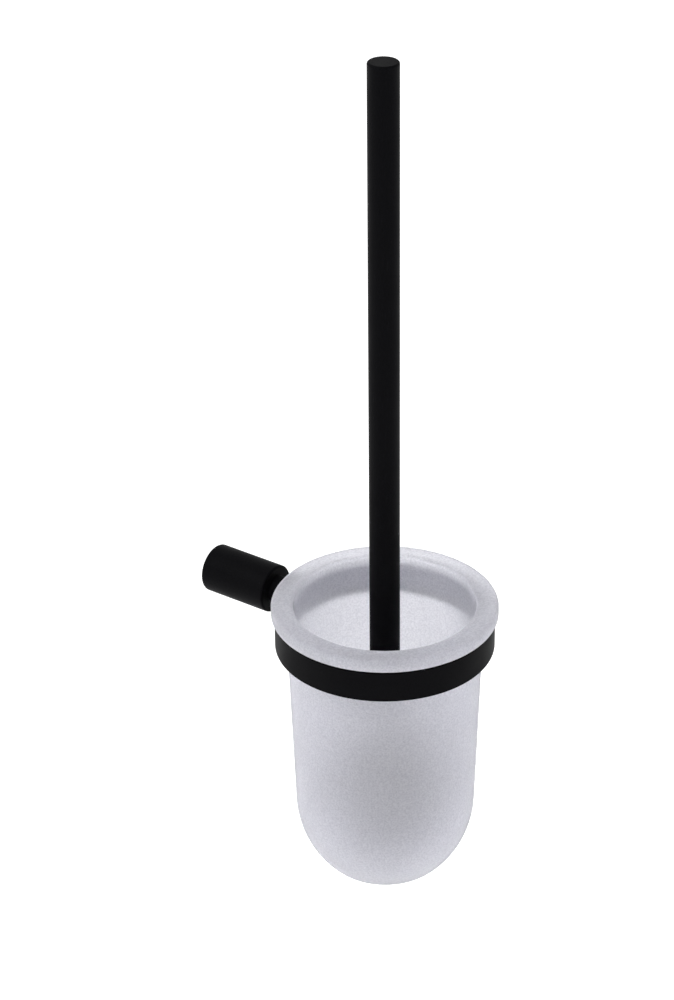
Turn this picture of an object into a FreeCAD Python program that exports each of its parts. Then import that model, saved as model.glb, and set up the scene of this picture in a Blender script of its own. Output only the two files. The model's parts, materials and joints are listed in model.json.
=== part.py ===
import FreeCAD, Part
import math
import os
import Sketcher

# Wall-mounted toilet brush holder: a short round post on the wall carries a flat ring, a frosted glass
# cup hangs in the ring by its thick lip, and a long-handled brush stands in the cup.
# Millimetres. +Z is up, the wall is the plane Y = 0, and the object stands out of it towards -Y.
# The origin is the middle of the post where it meets the wall.

# alias, value, what it is
DIMENSIONS = [
    ("cup_to_wall", 94.5, "wall to the axis of ring, cup and brush"),
    ("post_radius", 11.0, "post"),
    ("post_length", 34.5, "wall to the post's front face"),
    ("post_edge", 1.0, "rounding of the post's rims"),
    ("socket_radius", 8.6, "blind socket in the post's wall end"),
    ("socket_depth", 15.0, ""),
    ("boss_radius", 8.5, "wall boss that the post is pushed over"),
    ("boss_length", 13.0, ""),
    ("boss_floor", 5.0, "floor that the wall screw's head bears on"),
    ("boss_bore", 4.9, "radius of the recess for the wall screw's head"),
    ("boss_hole", 2.6, "radius of the clearance hole for a 5 mm wall screw"),
    ("boss_edge", 0.6, "chamfer at the boss's front end"),
    ("groove_place", 8.0, "wall to the middle of the boss's V-groove"),
    ("groove_depth", 1.9, "depth of the V-groove, as wide again each side"),
    ("groove_overcut", 0.1, "how far the groove's outline stands out of the boss"),
    ("hole_overcut", 1.0, "how far the outlines of drilled holes run past their faces"),
    ("grub_radius", 1.97, "M4 set screw under the post"),
    ("grub_hole", 2.0, ""),
    ("grub_length", 4.0, ""),
    ("grub_edge", 0.3, ""),
    ("grub_sink", 0.3, "how far the set screw's end lies inside the post's skin"),
    ("grub_key", 2.0, "hexagon across flats"),
    ("key_depth", 1.8, "depth of the hexagon sockets"),
    ("neck_radius", 6.5, "spacer between post and ring"),
    ("neck_hole", 2.65, "clearance for the ring screw"),
    ("saddle_stock", 2.0, "length that the saddle takes off the neck at its nearest point"),
    ("pin_radius", 1.0, "locating pin between post and neck"),
    ("pin_hole", 1.02, ""),
    ("pin_length", 8.0, ""),
    ("pin_edge", 0.25, ""),
    ("pin_spare", 0.2, "spare depth of the pin's two holes"),
    ("pin_offset", 4.4, "height of the pin above the post's axis"),
    ("ring_radius", 48.5, "outside of the ring"),
    ("ring_wall", 3.0, ""),
    ("ring_height", 14.0, ""),
    ("ring_edge", 0.35, "broken edges of the ring"),
    ("ring_screw_radius", 2.48, "M5 countersunk screw"),
    ("ring_screw_length", 25.0, "overall"),
    ("ring_screw_head", 4.75, "radius of the head"),
    ("ring_screw_sink", 0.1, "head below the ring's inner face"),
    ("ring_screw_play", 0.1, "radial play of the head in its countersink"),
    ("ring_screw_float", 0.05, "play under the head"),
    ("ring_screw_edge", 0.5, ""),
    ("ring_key", 3.0, "hexagon across flats"),
    ("tapped_radius", 2.5, "M5 thread in the post's front face"),
    ("tapped_depth", 13.0, ""),
    ("liner_radius", 44.1, "inside of the soft liner"),
    ("liner_rim", 47.0, "outside of the liner's rim"),
    ("liner_rim_height", 0.8, ""),
    ("liner_skirt", 1.3, "wall of the liner's skirt"),
    ("liner_depth", 11.0, "length of the skirt"),
    ("lip_radius", 50.0, "outside of the cup's lip"),
    ("lip_top", 14.0, "height of the lip's top above the post's axis"),
    ("lip_side", 5.8, "height of the lip's outer side"),
    ("lip_foot_radius", 46.2, "where the lip's sloped underside meets its seat"),
    ("seat_gap", 0.1, "play between the lip's seat and the liner"),
    ("mouth_radius", 40.2, "inside of the cup at the lip"),
    ("lip_outer_edge", 1.6, "rounding of the lip's top outer edge"),
    ("lip_lower_edge", 1.2, "rounding of the lip's lower outer edge"),
    ("lip_inner_edge", 1.3, "rounding of the mouth"),
    ("cup_neck_radius", 43.65, "outside of the cup under the lip"),
    ("cup_low_radius", 40.3, "outside of the cup where its bottom starts to curve"),
    ("cup_bend", 88.0, "depth below the post's axis where that curve starts"),
    ("cup_bottom", 125.4, "depth of the cup's underside"),
    ("side_arc", 46.0, "radius of the first stretch of the bottom's curve"),
    ("foot_arc", 24.5, "radius of its second stretch"),
    ("cup_wall", 3.6, ""),
    ("cup_floor", 4.0, ""),
    ("tube_radius", 6.7, "handle tube"),
    ("tube_wall", 0.8, ""),
    ("handle_top", 264.0, "top of the handle above the post's axis"),
    ("handle_foot", 38.0, "depth of the tube's lower end"),
    ("press_gap", 0.02, "play of the pieces pressed into the tube"),
    ("cap_height", 1.6, "visible rim of the handle's cap"),
    ("cap_edge", 0.9, "rounding of the cap"),
    ("cap_spigot", 8.0, ""),
    ("spigot_edge", 0.8, ""),
    ("insert_length", 20.0, "threaded insert in the tube's lower end"),
    ("insert_spare", 2.0, "depth of the insert's hole beyond the stud"),
    ("stud_radius", 3.0, "M6 stud between handle and head"),
    ("stud_play", 0.05, "radial play of the stud in its threads"),
    ("stud_grip", 12.0, "depth of the stud in the insert and in the head"),
    ("stud_edge", 0.6, ""),
    ("joint_gap", 0.2, "play between handle and head"),
    ("collar_radius", 10.5, "collar of the brush head"),
    ("collar_height", 7.0, ""),
    ("collar_bevel", 2.0, ""),
    ("core_radius", 8.5, "core that holds the bristles"),
    ("core_foot", 111.0, "depth of the core's lower end"),
    ("core_edge", 4.0, "rounding of the core's lower end"),
    ("core_spare", 1.0, "depth of the core's hole beyond the stud"),
    ("bristle_radius", 28.0, "reach of the bristles where the head is widest"),
    ("egg_radius", 8.0, "reach that the rows shrink towards above and below"),
    ("row_top", 48.3, "depth of the first bristle row"),
    ("row_pitch", 8.2, ""),
    ("row_height", 5.6, ""),
    ("row_gap", 0.05, "between the core and a bristle row"),
    ("tip_top", 111.2, "depth of the top of the tip bristles"),
    ("tip_foot", 121.0, "depth of their ends"),
    ("tip_root_radius", 9.0, ""),
    ("tip_end_radius", 13.5, ""),
]
BRISTLE_ROWS = 8
WIDEST_ROW = 3         # counted from 0; the head is egg-shaped, with its thick part above the middle
RIGHT_ANGLE = 90.0
FULL_TURN = 360.0
SAME_PLACE = 1e-4    # mm, nearer than this is the same place
LEAST_CUT = 0.01     # mm3, a cut that takes less has missed

doc = FreeCAD.newDocument("ToiletBrushHolder")
sheet = doc.addObject("Spreadsheet::Sheet", "Size")
for line, (alias, number, meaning) in enumerate(DIMENSIONS, start=1):
    sheet.set(f"A{line}", alias)
    sheet.set(f"B{line}", str(number))
    sheet.setAlias(f"B{line}", alias)
    sheet.set(f"C{line}", meaning)
doc.recompute()

bodies = []


def bound(text):
    """Turn [alias] in a formula into the sheet's cell."""
    return text.replace("[", "Size.").replace("]", "")


def amount(text):
    """What such a formula comes to, for placing sketch geometry near its solution."""
    return float(sheet.evalExpression(bound(text)))


def new_body(label, place=("0", "0", "0"), turn=None):
    """A body whose position is bound to the sheet. turn is (axis, degrees)."""
    body = doc.addObject("PartDesign::Body", label)
    body.Label = label
    if turn:
        body.Placement.Rotation = FreeCAD.Rotation(FreeCAD.Vector(*turn[0]), turn[1])
    for axis, text in zip("xyz", place):
        body.setExpression(f"Placement.Base.{axis}", bound(text))
    bodies.append(body)
    return body


def origin_plane(body, role):
    """One of the body's own origin planes."""
    return next(f for f in body.Origin.OriginFeatures if f.Role == role)


def new_sketch(body, name, role="XZ_Plane"):
    sketch = body.newObject("Sketcher::SketchObject", f"{body.Name}_{name}")
    sketch.AttachmentSupport = [(origin_plane(body, role), "")]
    sketch.MapMode = "FlatFace"
    return sketch


def pin_point(sketch, geometry, end, x, y):
    """Bind one end of a piece of sketch geometry to two formulas."""
    for kind, text in (("DistanceX", x), ("DistanceY", y)):
        number = amount(text)
        index = sketch.addConstraint(Sketcher.Constraint(kind, geometry, end, number))
        sketch.setExpression(f"Constraints[{index}]", bound(text))


def outline(sketch, points):
    """A closed polygon through points whose coordinates are formulas on the sheet."""
    corners = [FreeCAD.Vector(amount(x), amount(y), 0) for x, y in points]
    count = len(corners)
    for i in range(count):
        sketch.addGeometry(Part.LineSegment(corners[i], corners[(i + 1) % count]), False)
    for i in range(count):
        sketch.addConstraint(Sketcher.Constraint("Coincident", i, 2, (i + 1) % count, 1))
        pin_point(sketch, i, 1, *points[i])


def circle(sketch, x, y, radius):
    centre = FreeCAD.Vector(amount(x), amount(y), 0)
    geometry = sketch.addGeometry(Part.Circle(centre, FreeCAD.Vector(0, 0, 1), amount(radius)), False)
    pin_point(sketch, geometry, 3, x, y)
    index = sketch.addConstraint(Sketcher.Constraint("Radius", geometry, amount(radius)))
    sketch.setExpression(f"Constraints[{index}]", bound(radius))


def turned(body, points, name="profile"):
    """Revolve an outline, radius then height, about the body's Z axis."""
    sketch = new_sketch(body, name)
    outline(sketch, points)
    return revolve(body, sketch)


def revolve(body, sketch):
    feature = body.newObject("PartDesign::Revolution", f"{body.Name}_turned")
    feature.Profile = sketch
    feature.ReferenceAxis = (sketch, ["V_Axis"])
    feature.Angle = FULL_TURN
    doc.recompute()
    return feature


def cut(body, kind, sketch, setup):
    """Add a Pocket or Groove and make sure that it takes material away."""
    before = body.Shape.Volume
    feature = body.newObject(kind, f"{sketch.Name}_cut")
    feature.Profile = sketch
    setup(feature)
    doc.recompute()
    if body.Shape.Volume > before - LEAST_CUT:
        raise RuntimeError(f"{feature.Name} cuts nothing")
    return feature


def pocket(body, sketch, depth, reverse=False, both=False):
    """Pocket of a bound depth, from the sketch's plane."""
    def setup(feature):
        feature.Type = "Length"
        feature.Midplane = both
        feature.Reversed = reverse
        feature.setExpression("Length", bound(depth))
    return cut(body, "PartDesign::Pocket", sketch, setup)


def groove(body, sketch, axis="V_Axis"):
    """Full-turn groove about one of the sketch's axes."""
    def setup(feature):
        feature.ReferenceAxis = (sketch, [axis])
        feature.Angle = FULL_TURN
    return cut(body, "PartDesign::Groove", sketch, setup)


def lift_sketch(sketch, height):
    """Move a sketch along its plane's normal by a bound height."""
    sketch.setExpression("AttachmentOffset.Base.z", bound(height))


def ring_edges(feature, radius, height):
    """Names of the circles of this radius at this height on the local Z axis."""
    middle = FreeCAD.Vector(0, 0, height)
    names = []
    for number, edge in enumerate(feature.Shape.Edges, start=1):
        if edge.Curve.TypeId != "Part::GeomCircle":
            continue
        off = edge.Curve.Center.distanceToPoint(middle)
        if max(off, abs(edge.Curve.Radius - radius)) < SAME_PLACE:
            names.append(f"Edge{number}")
    if not names:
        raise RuntimeError(f"no edge of radius {radius} at {height} on {feature.Name}")
    return names


def rounded(body, feature, circles, radius, kind="PartDesign::Fillet", prop="Radius"):
    """Round or chamfer circular edges, given as (radius, height) formulas."""
    names = []
    for r, z in circles:
        names += ring_edges(feature, amount(r), amount(z))
    edge_feature = body.newObject(kind, f"{body.Name}_{prop}_{len(body.Group)}")
    edge_feature.Base = (feature, names)
    edge_feature.setExpression(prop, bound(radius))
    doc.recompute()
    return edge_feature


def chamfered(body, feature, circles, length):
    return rounded(body, feature, circles, length, "PartDesign::Chamfer", "Size")


def hexagon(sketch, across_flats):
    """A regular hexagon about the sketch's origin."""
    corner = f"{across_flats} / sqrt(3)"
    half = f"{across_flats} / 2"
    outline(sketch, [
        (corner, "0"), (f"{corner} / 2", half), (f"-{corner} / 2", half),
        (f"-{corner}", "0"), (f"-{corner} / 2", f"-{half}"), (f"{corner} / 2", f"-{half}"),
    ])


# Turned pieces along the post have their local Z axis laid on the row's Y axis.
INTO_ROOM = ((1, 0, 0), RIGHT_ANGLE)     # local Z points to -Y, local Y points up
INTO_WALL = ((1, 0, 0), -RIGHT_ANGLE)    # local Z points to +Y
AT_CUP = ("0", "-[cup_to_wall]", "0")


def make_wall_boss():
    body = new_body("wall_boss", turn=INTO_ROOM)
    boss = turned(body, [
        ("[boss_hole]", "0"), ("[boss_radius]", "0"), ("[boss_radius]", "[boss_length]"),
        ("[boss_bore]", "[boss_length]"), ("[boss_bore]", "[boss_floor]"),
        ("[boss_hole]", "[boss_floor]"),
    ])
    chamfered(body, boss, [("[boss_radius]", "[boss_length]")], "[boss_edge]")
    sketch = new_sketch(body, "clamp_groove")
    outside = "[boss_radius] + [groove_overcut]"
    outline(sketch, [
        (outside, "[groove_place] - [groove_depth] - [groove_overcut]"),
        (outside, "[groove_place] + [groove_depth] + [groove_overcut]"),
        ("[boss_radius] - [groove_depth]", "[groove_place]"),
    ])
    groove(body, sketch)


def make_post():
    body = new_body("post", turn=INTO_ROOM)
    post = turned(body, [
        ("[socket_radius]", "0"), ("[post_radius]", "0"), ("[post_radius]", "[post_length]"),
        ("[tapped_radius]", "[post_length]"), ("[tapped_radius]", "[post_length] - [tapped_depth]"),
        ("0", "[post_length] - [tapped_depth]"), ("0", "[socket_depth]"),
        ("[socket_radius]", "[socket_depth]"),
    ])
    rounded(body, post, [("[post_radius]", "0"), ("[post_radius]", "[post_length]")], "[post_edge]")
    # reversed, this pocket runs to local -Y, which is the post's underside
    sketch = new_sketch(body, "set_screw_hole", "XZ_Plane")
    circle(sketch, "0", "[groove_place]", "[grub_hole]")
    pocket(body, sketch, "[post_radius] + [hole_overcut]", reverse=True)
    sketch = new_sketch(body, "pin_hole", "XY_Plane")
    lift_sketch(sketch, "[post_length]")
    circle(sketch, "0", "[pin_offset]", "[pin_hole]")
    pocket(body, sketch, "[pin_length] / 2 + [pin_spare]")


def make_grub_screw():
    body = new_body("grub_screw", ("0", "-[groove_place]", "-[post_radius] + [grub_sink]"))
    grub = turned(body, [
        ("0", "0"), ("[grub_radius]", "0"), ("[grub_radius]", "[grub_length] - [grub_radius]"),
        ("0", "[grub_length]"),
    ])
    chamfered(body, grub, [("[grub_radius]", "0")], "[grub_edge]")
    sketch = new_sketch(body, "key", "XY_Plane")
    hexagon(sketch, "[grub_key]")
    pocket(body, sketch, "[key_depth]", reverse=True)


def make_locating_pin():
    body = new_body("locating_pin", ("0", "-[post_length]", "[pin_offset]"), INTO_ROOM)
    pin = turned(body, [
        ("0", "-[pin_length] / 2"), ("[pin_radius]", "-[pin_length] / 2"),
        ("[pin_radius]", "[pin_length] / 2"), ("0", "[pin_length] / 2"),
    ])
    ends = [("[pin_radius]", "-[pin_length] / 2"), ("[pin_radius]", "[pin_length] / 2")]
    chamfered(body, pin, ends, "[pin_edge]")


def make_neck():
    body = new_body("neck", ("0", "-[post_length]", "0"), INTO_ROOM)
    length = "[cup_to_wall] - [post_length] - [ring_radius] + [saddle_stock]"
    turned(body, [
        ("[neck_hole]", "0"), ("[neck_radius]", "0"), ("[neck_radius]", length), ("[neck_hole]", length),
    ])
    sketch = new_sketch(body, "saddle", "XZ_Plane")
    circle(sketch, "0", "[cup_to_wall] - [post_length]", "[ring_radius]")
    pocket(body, sketch, "2 * [neck_radius] + 2 * [hole_overcut]", both=True)
    sketch = new_sketch(body, "pin_hole", "XY_Plane")
    circle(sketch, "0", "[pin_offset]", "[pin_hole]")
    pocket(body, sketch, "[pin_length] / 2 + [pin_spare]", reverse=True)


def make_ring():
    body = new_body("ring", AT_CUP)
    inner = "[ring_radius] - [ring_wall]"
    ring = turned(body, [
        (inner, "-[ring_height] / 2"), ("[ring_radius]", "-[ring_height] / 2"),
        ("[ring_radius]", "[ring_height] / 2"), (inner, "[ring_height] / 2"),
    ])
    rims = [(r, f"{side}[ring_height] / 2") for r in ("[ring_radius]", inner) for side in ("-", "")]
    rounded(body, ring, rims, "[ring_edge]")
    sketch = new_sketch(body, "countersunk_hole", "XY_Plane")
    head = "[ring_screw_head] + [ring_screw_play]"
    face = f"{inner} + [ring_screw_sink]"
    start = f"{inner} - [hole_overcut]"
    end = "[ring_radius] + [hole_overcut]"
    outline(sketch, [
        ("0", start), (head, start), (head, face), ("[neck_hole]", f"{face} + {head} - [neck_hole]"),
        ("[neck_hole]", end), ("0", end),
    ])
    groove(body, sketch)


def make_ring_screw():
    """Countersunk screw from inside the ring, through the neck, into the post."""
    place = ("0", "-[cup_to_wall] + [ring_radius] - [ring_wall] + [ring_screw_sink]", "0")
    body = new_body("ring_screw", place, INTO_WALL)
    top = "[ring_screw_float]"
    taper = f"{top} + [ring_screw_head] - [ring_screw_radius]"
    screw = turned(body, [
        ("0", top), ("[ring_screw_head]", top), ("[ring_screw_radius]", taper),
        ("[ring_screw_radius]", "[ring_screw_length]"), ("0", "[ring_screw_length]"),
    ])
    chamfered(body, screw, [("[ring_screw_radius]", "[ring_screw_length]")], "[ring_screw_edge]")
    sketch = new_sketch(body, "key", "XY_Plane")
    hexagon(sketch, "[ring_key]")
    pocket(body, sketch, "[key_depth]", reverse=True)


def make_ring_liner():
    body = new_body("ring_liner", AT_CUP)
    skirt = "[liner_radius] + [liner_skirt]"
    top = "[ring_height] / 2 + [liner_rim_height]"
    turned(body, [
        ("[liner_radius]", f"{top} - [liner_depth]"), (skirt, f"{top} - [liner_depth]"),
        (skirt, "[ring_height] / 2"), ("[liner_rim]", "[ring_height] / 2"),
        ("[liner_rim]", top), ("[liner_radius]", top),
    ])


def cup_side(sketch, start, bend, floor, arcs):
    """One side of the cup: a taper, then two arcs tangent to it and to the level floor.

    start and bend are points (radius, height), floor a height, arcs the two radii; all formulas.
    Returns the geometry numbers of the taper, both arcs and the floor.
    """
    r0, z0 = (amount(text) for text in start)
    r1, z1 = (amount(text) for text in bend)
    foot = amount(floor)
    big, small = (amount(text) for text in arcs)
    lean = math.atan2(r0 - r1, z0 - z1)
    centre = FreeCAD.Vector(r1 - big * math.cos(lean), z1 + big * math.sin(lean), 0)
    swing = math.asin((centre.y - foot - small) / (big - small))
    along = FreeCAD.Vector(math.cos(swing), -math.sin(swing), 0)
    second = centre + along * (big - small)
    join = centre + along * big
    normal = FreeCAD.Vector(0, 0, 1)
    taper = sketch.addGeometry(Part.LineSegment(FreeCAD.Vector(r0, z0, 0), FreeCAD.Vector(r1, z1, 0)), False)
    first_arc = sketch.addGeometry(
        Part.ArcOfCircle(Part.Circle(centre, normal, big), -swing, -lean), False)
    second_arc = sketch.addGeometry(
        Part.ArcOfCircle(Part.Circle(second, normal, small), -math.pi / 2, -swing), False)
    level = sketch.addGeometry(
        Part.LineSegment(FreeCAD.Vector(second.x, foot, 0), FreeCAD.Vector(0, foot, 0)), False)
    for first, end, other, beginning in (
            (taper, 2, first_arc, 2), (first_arc, 1, second_arc, 2), (second_arc, 1, level, 1)):
        sketch.addConstraint(Sketcher.Constraint("Tangent", first, end, other, beginning))
    for arc, text in ((first_arc, arcs[0]), (second_arc, arcs[1])):
        index = sketch.addConstraint(Sketcher.Constraint("Radius", arc, amount(text)))
        sketch.setExpression(f"Constraints[{index}]", bound(text))
    pin_point(sketch, taper, 1, *start)
    pin_point(sketch, taper, 2, *bend)
    pin_point(sketch, level, 2, "0", floor)
    return taper, level


def make_cup():
    """Frosted glass cup: thick lip with a sloped underside, tapering side, round bottom."""
    body = new_body("cup", AT_CUP)
    sketch = new_sketch(body, "profile")
    seat = "[ring_height] / 2 + [liner_rim_height] + [seat_gap]"
    side_top = ("[cup_neck_radius]", seat)
    bend = ("[cup_low_radius]", "-[cup_bend]")
    outer, outer_floor = cup_side(sketch, side_top, bend, "-[cup_bottom]", ("[side_arc]", "[foot_arc]"))
    inside = "[cup_low_radius] - [cup_wall]"
    inner, inner_floor = cup_side(
        sketch, ("[mouth_radius]", "[lip_top]"), (inside, "-[cup_bend]"), "-[cup_bottom] + [cup_floor]",
        ("[side_arc] - [cup_wall]", "[foot_arc] - [cup_floor]"))
    rim = [
        ("[mouth_radius]", "[lip_top]"), ("[lip_radius]", "[lip_top]"),
        ("[lip_radius]", "[lip_top] - [lip_side]"), ("[lip_foot_radius]", seat), side_top,
    ]
    corners = [FreeCAD.Vector(amount(x), amount(y), 0) for x, y in rim]
    lines = [sketch.addGeometry(Part.LineSegment(a, b), False) for a, b in zip(corners, corners[1:])]
    sketch.addConstraint(Sketcher.Constraint("Coincident", inner, 1, lines[0], 1))
    for i in range(len(lines) - 1):
        sketch.addConstraint(Sketcher.Constraint("Coincident", lines[i], 2, lines[i + 1], 1))
        pin_point(sketch, lines[i], 2, *rim[i + 1])
    sketch.addConstraint(Sketcher.Constraint("Coincident", lines[-1], 2, outer, 1))
    axis = sketch.addGeometry(Part.LineSegment(
        FreeCAD.Vector(0, -amount("[cup_bottom]"), 0),
        FreeCAD.Vector(0, amount("-[cup_bottom] + [cup_floor]"), 0)), False)
    sketch.addConstraint(Sketcher.Constraint("Coincident", axis, 1, outer_floor, 2))
    sketch.addConstraint(Sketcher.Constraint("Coincident", axis, 2, inner_floor, 2))
    cup = revolve(body, sketch)
    cup = rounded(body, cup, [("[lip_radius]", "[lip_top]")], "[lip_outer_edge]")
    cup = rounded(body, cup, [("[mouth_radius]", "[lip_top]")], "[lip_inner_edge]")
    rounded(body, cup, [("[lip_radius]", "[lip_top] - [lip_side]")], "[lip_lower_edge]")


def make_handle():
    tube = new_body("handle_tube", AT_CUP)
    bore = "[tube_radius] - [tube_wall]"
    shoulder = "[handle_top] - [cap_height]"
    turned(tube, [
        (bore, "-[handle_foot]"), ("[tube_radius]", "-[handle_foot]"),
        ("[tube_radius]", shoulder), (bore, shoulder),
    ])
    cap = new_body("handle_cap", AT_CUP)
    spigot = f"{bore} - [press_gap]"
    turned_cap = turned(cap, [
        ("0", f"{shoulder} - [cap_spigot]"), (spigot, f"{shoulder} - [cap_spigot]"),
        (spigot, shoulder), ("[tube_radius]", shoulder), ("[tube_radius]", "[handle_top]"),
        ("0", "[handle_top]"),
    ])
    turned_cap = rounded(cap, turned_cap, [("[tube_radius]", "[handle_top]")], "[cap_edge]")
    chamfered(cap, turned_cap, [(spigot, f"{shoulder} - [cap_spigot]")], "[spigot_edge]")
    insert = new_body("handle_insert", AT_CUP)
    thread = "[stud_radius] + [stud_play]"
    hole_end = "-[handle_foot] + [stud_grip] + [insert_spare]"
    turned(insert, [
        (thread, "-[handle_foot]"), (spigot, "-[handle_foot]"),
        (spigot, "-[handle_foot] + [insert_length]"), ("0", "-[handle_foot] + [insert_length]"),
        ("0", hole_end), (thread, hole_end),
    ])


def make_thread_stud():
    stud = new_body("thread_stud", AT_CUP)
    low = "-[handle_foot] - [joint_gap] - [stud_grip]"
    high = "-[handle_foot] + [stud_grip]"
    turned_stud = turned(stud, [("0", low), ("[stud_radius]", low), ("[stud_radius]", high), ("0", high)])
    chamfered(stud, turned_stud, [("[stud_radius]", low), ("[stud_radius]", high)], "[stud_edge]")


def make_head_core():
    core = new_body("head_core", AT_CUP)
    thread = "[stud_radius] + [stud_play]"
    top = "-[handle_foot] - [joint_gap]"
    hole_end = f"{top} - [stud_grip] - [core_spare]"
    turned_core = turned(core, [
        (thread, top), ("[collar_radius] - [collar_bevel]", top),
        ("[collar_radius]", f"{top} - [collar_bevel]"), ("[collar_radius]", f"{top} - [collar_height]"),
        ("[core_radius]", f"{top} - [collar_height]"), ("[core_radius]", "-[core_foot]"),
        ("0", "-[core_foot]"), ("0", hole_end), (thread, hole_end),
    ])
    rounded(core, turned_core, [("[core_radius]", "-[core_foot]")], "[core_edge]")


def make_tuft_rows():
    """Each row of bristle tufts, as a plain disc around the core; together the rows make an egg."""
    for row in range(BRISTLE_ROWS):
        body = new_body(f"tuft_row_{row + 1}", AT_CUP)
        middle = f"-[row_top] - {row} * [row_pitch]"
        low = f"{middle} - [row_height] / 2"
        high = f"{middle} + [row_height] / 2"
        rows_to_end = WIDEST_ROW + 1 if row < WIDEST_ROW else BRISTLE_ROWS - WIDEST_ROW
        swell = f"cos({RIGHT_ANGLE} deg * {abs(row - WIDEST_ROW)} / {rows_to_end})"
        reach = f"[egg_radius] + ([bristle_radius] - [egg_radius]) * {swell}"
        root = "[core_radius] + [row_gap]"
        turned(body, [(root, low), (reach, low), (reach, high), (root, high)])
    tips = new_body("tip_tufts", AT_CUP)
    turned(tips, [
        ("0", "-[tip_foot]"), ("[tip_end_radius]", "-[tip_foot]"),
        ("[tip_root_radius]", "-[tip_top]"), ("0", "-[tip_top]"),
    ])


def check_and_write():
    doc.recompute()
    for thing in doc.Objects:
        if "Invalid" in thing.State or "Error" in thing.State:
            raise RuntimeError(f"{thing.Name} failed: {thing.State}")
    for body in bodies:
        if body.Shape.isNull() or not body.Shape.isValid() or not body.Shape.Solids:
            raise RuntimeError(f"{body.Label} has no valid solid")
    os.makedirs("parts", exist_ok=True)
    for body in bodies:
        body.Shape.exportStep(f"parts/{body.Label}.step")
        box = body.Shape.BoundBox
        print(f"{body.Label:14s} solids {len(body.Shape.Solids)} volume {body.Shape.Volume:10.1f}"
              f"  x {box.XMin:7.2f} {box.XMax:7.2f}  y {box.YMin:8.2f} {box.YMax:7.2f}"
              f"  z {box.ZMin:8.2f} {box.ZMax:7.2f}")


make_wall_boss()
make_post()
make_grub_screw()
make_locating_pin()
make_neck()
make_ring()
make_ring_screw()
make_ring_liner()
make_cup()
make_handle()
make_thread_stud()
make_head_core()
make_tuft_rows()
check_and_write()
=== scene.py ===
import json
import math
import random

import bpy
from mathutils import Matrix, Vector


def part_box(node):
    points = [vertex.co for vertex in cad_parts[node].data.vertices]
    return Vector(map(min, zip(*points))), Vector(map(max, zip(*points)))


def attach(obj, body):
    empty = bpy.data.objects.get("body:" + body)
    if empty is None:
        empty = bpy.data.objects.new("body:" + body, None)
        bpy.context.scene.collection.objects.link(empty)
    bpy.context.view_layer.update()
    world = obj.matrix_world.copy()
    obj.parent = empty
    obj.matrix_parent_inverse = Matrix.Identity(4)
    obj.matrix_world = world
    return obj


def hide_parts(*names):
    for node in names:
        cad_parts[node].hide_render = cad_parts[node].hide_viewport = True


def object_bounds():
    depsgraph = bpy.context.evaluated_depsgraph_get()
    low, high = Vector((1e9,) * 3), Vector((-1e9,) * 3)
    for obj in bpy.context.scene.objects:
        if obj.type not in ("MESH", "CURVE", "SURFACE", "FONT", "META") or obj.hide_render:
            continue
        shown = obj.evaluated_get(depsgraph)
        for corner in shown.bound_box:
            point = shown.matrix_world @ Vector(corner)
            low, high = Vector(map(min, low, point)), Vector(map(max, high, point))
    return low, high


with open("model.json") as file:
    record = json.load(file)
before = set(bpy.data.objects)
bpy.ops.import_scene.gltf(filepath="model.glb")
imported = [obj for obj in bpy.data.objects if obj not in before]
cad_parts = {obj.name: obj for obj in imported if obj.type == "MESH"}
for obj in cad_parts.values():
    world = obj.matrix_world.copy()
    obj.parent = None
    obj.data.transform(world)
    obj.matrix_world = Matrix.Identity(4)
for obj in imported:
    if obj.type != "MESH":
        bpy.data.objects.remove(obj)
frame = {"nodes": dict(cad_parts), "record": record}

# Looks of a wall-mounted toilet brush holder. Metres, in the CAD frame: +Z up, the wall is
# Y = 0, and the object stands out of it towards -Y. The CAD keeps every hard piece; the
# bristles are built here.

cad_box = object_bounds()
cup_low, cup_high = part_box("cup")
AXIS_X = (cup_low.x + cup_high.x) / 2
AXIS_Y = (cup_low.y + cup_high.y) / 2
MM = 0.001

# camera: where it stands round the cup's axis, what it aims at, its lens
CAMERA_AZIMUTH = math.radians(-53.65)
CAMERA_ELEVATION = math.radians(28.89)
CAMERA_ROLL = math.radians(-0.65)
CAMERA_DISTANCE = 1.2798
CAMERA_ASIDE = -0.0204           # sideways step, which sets the object right of the middle
AIM_BELOW_MIDDLE = 0.0045        # aim below half the object's height
LENS = 107.15                    # mm
SENSOR = 36.0                    # mm

# floor and surrounding light
FLOOR_DROP = 0.55                # floor below the cup
FLOOR_SIZE = 30.0
FLOOR_GLOW = 0.45                # the floor's own light, as on a lit studio table
BRIGHT_SIDE = (-0.42, 0.57, -0.70)   # direction that the surrounding light is strongest from
WORLD_BRIGHT = 1.2               # its strength there
WORLD_DIM = 0.7                  # and on the opposite side
WORLD_SEEN = 1.1                 # strength of the backdrop that the camera sees


# ---------------------------------------------------------------- materials

def set_range(node, start, end, low, high):
    """Let a Map Range node map start to low and end to high."""
    limits = {"From Min": start, "From Max": end, "To Min": low, "To Max": high}
    for name, number in limits.items():
        node.inputs[name].default_value = number


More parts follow.
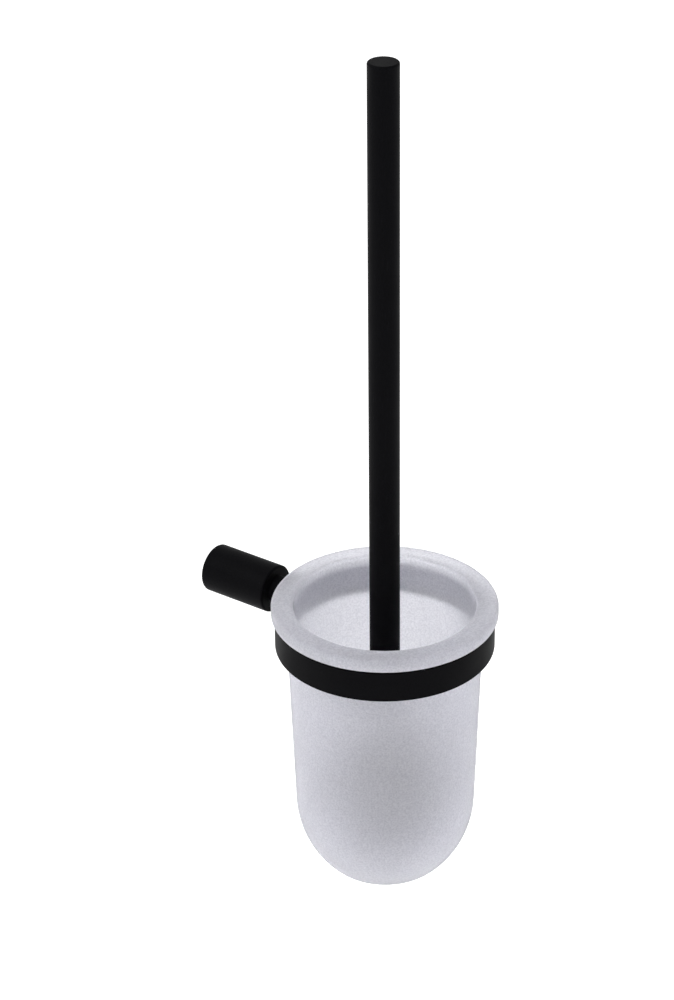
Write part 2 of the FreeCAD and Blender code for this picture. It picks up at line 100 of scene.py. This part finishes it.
class Nodes:
    """A new node material around one Principled shader, with short calls for its nodes."""

    def __init__(self, name):
        self.material = bpy.data.materials.new(name)
        self.material.use_nodes = True
        self.tree = self.material.node_tree
        self.shader = self.tree.nodes["Principled BSDF"]
        self.place = self.tree.nodes.new("ShaderNodeTexCoord").outputs["Object"]

    def set(self, **values):
        """Set constants on the shader's sockets, whose names have spaces for underscores."""
        for name, value in values.items():
            self.shader.inputs[name.replace("_", " ")].default_value = value

    def link(self, source, target):
        self.tree.links.new(source, target)

    def noise(self, size, detail=2.0, stretch=(1, 1, 1)):
        """Noise whose blotches are about this many metres wide, wider along stretched axes."""
        mapping = self.tree.nodes.new("ShaderNodeMapping")
        mapping.inputs["Scale"].default_value = [1 / factor for factor in stretch]
        self.link(self.place, mapping.inputs["Vector"])
        noise = self.tree.nodes.new("ShaderNodeTexNoise")
        noise.inputs["Scale"].default_value = 1 / size
        noise.inputs["Detail"].default_value = detail
        self.link(mapping.outputs["Vector"], noise.inputs["Vector"])
        return noise.outputs["Fac"]

    def span(self, value, low, high, start=0.3, end=0.7):
        """Map a value between start and end to low and high."""
        node = self.tree.nodes.new("ShaderNodeMapRange")
        set_range(node, start, end, low, high)
        self.link(value, node.inputs["Value"])
        return node.outputs["Result"]

    def blend(self, value, dark, light):
        """Colour between dark and light."""
        node = self.tree.nodes.new("ShaderNodeMix")
        node.data_type = "RGBA"
        colours = [socket for socket in node.inputs if socket.type == "RGBA"]
        colours[0].default_value = (*dark, 1)
        colours[1].default_value = (*light, 1)
        self.link(value, node.inputs["Factor"])
        return next(socket for socket in node.outputs if socket.type == "RGBA")

    def bump(self, height, depth, strength=1.0):
        """Bump of this depth in metres."""
        node = self.tree.nodes.new("ShaderNodeBump")
        node.inputs["Distance"].default_value = depth
        node.inputs["Strength"].default_value = strength
        self.link(height, node.inputs["Height"])
        self.link(node.outputs["Normal"], self.shader.inputs["Normal"])

    def colour(self, source):
        self.link(source, self.shader.inputs["Base Color"])

    def mottle(self, pattern, dark, light):
        """Base colour that a noise pattern spreads between dark and light."""
        self.colour(self.blend(self.span(pattern, low=0, high=1), dark, light))

    def roughness(self, source):
        self.link(source, self.shader.inputs["Roughness"])


def black_coat():
    """Matt black powder coat: a very fine orange peel, a little uneven in sheen."""
    n = Nodes("black_powder_coat")
    n.set(Specular_IOR_Level=0.032, Sheen_Weight=0.03, Sheen_Roughness=0.35)
    peel = n.noise(size=0.55 * MM, detail=3.0)
    cloud = n.noise(size=14 * MM, detail=3.0)
    n.mottle(peel, dark=(0.0010, 0.0010, 0.0014), light=(0.0030, 0.0029, 0.0038))
    n.roughness(n.span(cloud, low=0.52, high=0.62))
    n.bump(peel, depth=0.05 * MM, strength=0.6)
    return n.material


def frosted_glass():
    """Clear glass etched to a fine frost: light goes through, shapes blur away."""
    n = Nodes("frosted_glass")
    n.set(IOR=1.47, Transmission_Weight=0.80)
    grain = n.noise(size=0.8 * MM, detail=3.0)
    cloud = n.noise(size=22 * MM)
    n.mottle(grain, dark=(0.63, 0.63, 0.672), light=(0.90, 0.90, 0.941))
    n.roughness(n.span(cloud, low=0.66, high=0.74))
    n.bump(grain, depth=0.03 * MM, strength=0.6)
    return n.material


def liner_silicone():
    """Soft pale grey silicone."""
    n = Nodes("grey_silicone")
    n.set(Specular_IOR_Level=0.3)
    grain = n.noise(size=0.7 * MM)
    n.mottle(grain, dark=(0.70, 0.70, 0.71), light=(0.76, 0.76, 0.77))
    n.roughness(n.span(grain, low=0.7, high=0.85))
    n.bump(grain, depth=0.03 * MM, strength=0.5)
    return n.material


def turned_steel():
    """Zinc plated steel with the fine lines of the lathe along Y."""
    n = Nodes("turned_steel")
    n.set(Metallic=1.0)
    lines = n.noise(size=0.16 * MM, stretch=(60, 1, 60))
    cloud = n.noise(size=5 * MM, detail=3.0)
    n.mottle(cloud, dark=(0.47, 0.48, 0.49), light=(0.62, 0.63, 0.64))
    n.roughness(n.span(lines, low=0.26, high=0.42))
    n.bump(lines, depth=0.01 * MM, strength=0.5)
    return n.material


def head_plastic():
    """Moulded grey plastic of the brush head's core."""
    n = Nodes("head_plastic")
    grain = n.noise(size=0.4 * MM)
    cloud = n.noise(size=9 * MM)
    n.mottle(cloud, dark=(0.30, 0.30, 0.31), light=(0.36, 0.36, 0.37))
    n.roughness(n.span(grain, low=0.34, high=0.46))
    n.bump(grain, depth=0.01 * MM, strength=0.5)
    return n.material


def nylon():
    """Dark grey nylon fibres, each of a slightly different grey; the dark grey is painted shade
    that stands in for the shadow deep inside the brush head.
    """
    n = Nodes("nylon_bristles")
    island = n.tree.nodes.new("ShaderNodeNewGeometry").outputs["Random Per Island"]
    # painted shade: the fibres' dark grey stands in for the shadow inside the head; the spread
    # from fibre to fibre is random tone
    n.colour(n.blend(island, dark=(0.04, 0.039, 0.050), light=(0.10, 0.098, 0.120)))
    n.roughness(n.span(n.noise(size=1.5 * MM), low=0.32, high=0.45))
    return n.material


# ---------------------------------------------------------------- CAD pieces

FINISHES = {
    "black_coat": black_coat(),
    "frosted_glass": frosted_glass(),
    "grey_liner": liner_silicone(),
    "bare_steel": turned_steel(),
    "head_plastic": head_plastic(),
    "bristles": nylon(),
}
SMOOTH_BELOW = math.radians(28)  # edges flatter than this are shaded smooth


def dress(node, material):
    """Give a CAD piece its material and smooth shading across its tessellation."""
    piece = frame["nodes"][node]
    piece.data.materials.clear()
    piece.data.materials.append(material)
    piece.data.set_sharp_from_angle(angle=SMOOTH_BELOW)


for subpart in frame["record"]["subparts"]:
    dress(subpart["node"], FINISHES[subpart["material_slot"]])


# ---------------------------------------------------------------- bristles

FIBRE_WIDTH = 0.42 * MM
FIBRE_TAPER = 0.35               # share of its width that a fibre loses towards its end
FIBRE_SIDES = 3
FIBRE_STEPS = 6
TUFTS_PER_ROW = 18
FIBRES_PER_TUFT = 56
TUFT_RADIUS = 1.7 * MM           # of the bundle where it leaves the core
FAN = math.radians(15)           # how far a tuft opens
CRIMP = 0.55 * MM                # waviness of a fibre
CRIMP_LENGTH = 7 * MM
SAG = 1.5 * MM                   # how far a fibre's end bends aside, at most
TRIM = 0.9 * MM                  # unevenness of the trimmed ends
ROOT_DEPTH = 1.0 * MM            # how far the fibres start inside the core
TIP_FIBRES = 800
TIP_LIFT = 1.0 * MM              # keeps the bent tips off the cup's floor
TIP_ROOTS = 0.55                 # the tip fibres' roots, as a share of their ends' spread
SEED = 7
rng = random.Random(SEED)


def fibre(points, faces, start, direction, length):
    """Add one crimped fibre, a thin tapering tube, to a list of points and faces."""
    side = direction.orthogonal().normalized()
    side.rotate(Matrix.Rotation(rng.uniform(0, 2 * math.pi), 3, direction))
    other = direction.cross(side)
    phase = rng.uniform(0, 2 * math.pi)
    sag = rng.uniform(-SAG, SAG)
    base = len(points)
    for step in range(FIBRE_STEPS + 1):
        share = step / FIBRE_STEPS
        wave = CRIMP * share * math.sin(phase + 2 * math.pi * share * length / CRIMP_LENGTH)
        centre = (start + direction * (length * share)
                  + side * wave + other * (sag * share * share))
        width = FIBRE_WIDTH / 2 * (1 - FIBRE_TAPER * share)
        for corner in range(FIBRE_SIDES):
            angle = 2 * math.pi * corner / FIBRE_SIDES
            points.append(centre + (side * math.cos(angle) + other * math.sin(angle)) * width)
    for step in range(FIBRE_STEPS):
        for corner in range(FIBRE_SIDES):
            a = base + step * FIBRE_SIDES + corner
            b = base + step * FIBRE_SIDES + (corner + 1) % FIBRE_SIDES
            faces.append((a, b, b + FIBRE_SIDES, a + FIBRE_SIDES))
    last = base + FIBRE_STEPS * FIBRE_SIDES
    faces.append(tuple(base + corner for corner in reversed(range(FIBRE_SIDES))))
    faces.append(tuple(last + corner for corner in range(FIBRE_SIDES)))


def bristle_piece(name, points, faces, node):
    """One piece of fibres, smooth along their sides, that replaces a CAD node."""
    mesh = bpy.data.meshes.new(name)
    mesh.from_pydata(points, [], faces)
    mesh.materials.append(FINISHES["bristles"])
    for polygon in mesh.polygons:
        polygon.use_smooth = len(polygon.vertices) > FIBRE_SIDES
    piece = bpy.data.objects.new(name, mesh)
    bpy.context.scene.collection.objects.link(piece)
    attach(piece, "brush_head")
    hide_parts(node)


def core_radius():
    """Radius of the core, from the hole that a bristle row leaves for it."""
    row = frame["nodes"]["tuft_row_1"].data
    return min(math.hypot(point.co.x - AXIS_X, point.co.y - AXIS_Y) for point in row.vertices)


CORE_RADIUS = core_radius()
ROWS = sum(name.startswith("tuft_row_") for name in frame["nodes"])


def row_shape(number):
    """Height of the middle of a bristle row's CAD disc, and the disc's radius."""
    low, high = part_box(f"tuft_row_{number}")
    return (low.z + high.z) / 2, (high.x - low.x) / 2


EGG = [row_shape(number) for number in range(1, ROWS + 1)]


def egg_radius(height):
    """Radius of the trimmed head at a height, between the radii of the rows above and below."""
    pairs = list(zip(EGG, EGG[1:]))
    above, below = next((pair for pair in pairs if height > pair[1][0]), pairs[-1])
    (upper_height, upper_radius), (lower_height, lower_radius) = above, below
    share = (height - lower_height) / (upper_height - lower_height)
    return lower_radius + (upper_radius - lower_radius) * share


def tuft_row(number):
    """One row of tufts round the core, fanned out and trimmed to the egg shape of the head."""
    middle, reach = row_shape(number)
    stagger = 0.5 * (number % 2)
    root = CORE_RADIUS - ROOT_DEPTH
    points, faces = [], []
    for tuft in range(TUFTS_PER_ROW):
        around = 2 * math.pi * (tuft + stagger) / TUFTS_PER_ROW
        outward = Vector((math.cos(around), math.sin(around), 0))
        aside = Vector((-outward.y, outward.x, 0))
        for _ in range(FIBRES_PER_TUFT):
            turn = rng.uniform(0, 2 * math.pi)
            off = math.sqrt(rng.random())
            sideways, up = off * math.cos(turn), off * math.sin(turn)
            start = Vector((AXIS_X, AXIS_Y, middle)) + outward * root
            start += aside * (sideways * TUFT_RADIUS) + Vector((0, 0, up * TUFT_RADIUS))
            direction = outward + aside * (math.tan(FAN) * sideways)
            direction += Vector((0, 0, math.tan(FAN) * up))
            direction.normalize()
            trimmed = egg_radius(start.z + direction.z * (reach - root)) - root
            fibre(points, faces, start, direction, trimmed - rng.uniform(0, TRIM))
    bristle_piece(f"bristle_row_{number}", points, faces, f"tuft_row_{number}")


def tip_tufts():
    """Tufts on the core's lower end, pointing down and outwards."""
    low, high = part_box("tip_tufts")
    spread = (high.x - low.x) / 2
    points, faces = [], []
    root = high.z + ROOT_DEPTH
    for _ in range(TIP_FIBRES):
        around = rng.uniform(0, 2 * math.pi)
        off = math.sqrt(rng.random())
        outward = Vector((math.cos(around), math.sin(around), 0))
        start = Vector((AXIS_X, AXIS_Y, root)) + outward * (off * TIP_ROOTS * spread)
        end = Vector((AXIS_X, AXIS_Y, low.z)) + outward * (off * spread)
        end.z += TIP_LIFT + rng.uniform(0, TRIM)
        way = end - start
        fibre(points, faces, start, way.normalized(), way.length)
    bristle_piece("bristle_tip", points, faces, "tip_tufts")


for number in range(1, ROWS + 1):
    tuft_row(number)
tip_tufts()


# ---------------------------------------------------------------- stage, light and camera

def make_floor():
    """A large pale floor with a faint light of its own."""
    n = Nodes("pale_floor")
    n.colour(n.blend(n.noise(size=0.4), dark=(0.95, 0.95, 0.95), light=(0.97, 0.97, 0.97)))
    n.set(Roughness=0.9, Specular_IOR_Level=0.1)
    n.set(Emission_Color=(1, 1, 1, 1), Emission_Strength=FLOOR_GLOW)
    half = FLOOR_SIZE / 2
    height = cad_box[0].z - FLOOR_DROP
    mesh = bpy.data.meshes.new("floor")
    corners = [(-half, -half), (half, -half), (half, half), (-half, half)]
    mesh.from_pydata([(x, AXIS_Y + y, height) for x, y in corners], [], [(0, 1, 2, 3)])
    mesh.materials.append(n.material)
    floor = bpy.data.objects.new("floor", mesh)
    bpy.context.scene.collection.objects.link(floor)


def camera_axes(azimuth, elevation, roll):
    """Right, up and back of a camera that looks at the object from this direction."""
    back = Vector((math.sin(azimuth) * math.cos(elevation),
                   -math.cos(azimuth) * math.cos(elevation), math.sin(elevation)))
    level = Vector((math.cos(azimuth), math.sin(azimuth), 0))
    upright = back.cross(level)
    right = level * math.cos(roll) + upright * math.sin(roll)
    up = upright * math.cos(roll) - level * math.sin(roll)
    return right, up, back


def make_camera():
    """The camera, which looks at the cup's axis from the front left."""
    right, up, back = camera_axes(CAMERA_AZIMUTH, CAMERA_ELEVATION, CAMERA_ROLL)
    middle = (cad_box[0].z + cad_box[1].z) / 2
    aim = Vector((AXIS_X, AXIS_Y, middle - AIM_BELOW_MIDDLE))
    data = bpy.data.cameras.new("camera")
    data.sensor_width = SENSOR
    data.lens = LENS
    camera = bpy.data.objects.new("camera", data)
    bpy.context.scene.collection.objects.link(camera)
    place = aim + back * CAMERA_DISTANCE + right * CAMERA_ASIDE
    turn = Matrix((right, up, back)).transposed().to_4x4()
    camera.matrix_world = Matrix.Translation(place) @ turn
    bpy.context.scene.camera = camera


def softbox(name, azimuth, elevation, distance, size, power):
    """A square area light that shines at the middle of the object, in degrees and watts."""
    data = bpy.data.lights.new(name, "AREA")
    data.shape = "SQUARE"
    data.size = size
    data.energy = power
    light = bpy.data.objects.new(name, data)
    bpy.context.scene.collection.objects.link(light)
    right, up, back = camera_axes(math.radians(azimuth), math.radians(elevation), 0)
    middle = (cad_box[0] + cad_box[1]) / 2
    light.matrix_world = (Matrix.Translation(middle + back * distance)
                          @ Matrix((right, up, back)).transposed().to_4x4())


def make_world():
    """A white surround, dimmer on one side, and even where the camera sees it."""
    world = bpy.data.worlds.new("studio")
    bpy.context.scene.world = world
    world.use_nodes = True
    tree = world.node_tree
    background = tree.nodes["Background"]
    background.inputs["Color"].default_value = (1, 1, 1, 1)
    seen = tree.nodes.new("ShaderNodeLightPath").outputs["Is Camera Ray"]
    strength = tree.nodes.new("ShaderNodeMapRange")
    direction = tree.nodes.new("ShaderNodeTexCoord").outputs["Generated"]
    across = tree.nodes.new("ShaderNodeVectorMath")
    across.operation = "DOT_PRODUCT"
    across.inputs[1].default_value = BRIGHT_SIDE
    side = tree.nodes.new("ShaderNodeMapRange")
    set_range(side, start=-1, end=1, low=WORLD_DIM, high=WORLD_BRIGHT)
    tree.links.new(direction, across.inputs[0])
    tree.links.new(across.outputs["Value"], side.inputs["Value"])
    tree.links.new(side.outputs["Result"], strength.inputs["To Min"])
    strength.inputs["To Max"].default_value = WORLD_SEEN
    tree.links.new(seen, strength.inputs["Value"])
    tree.links.new(strength.outputs["Result"], background.inputs["Strength"])


make_floor()
make_camera()
make_world()
softbox("key_light", azimuth=-125, elevation=45, distance=1.6, size=0.9, power=9)
softbox("fill_light", azimuth=-10, elevation=35, distance=2.0, size=1.4, power=6)
bpy.context.scene.view_settings.view_transform = "Standard"
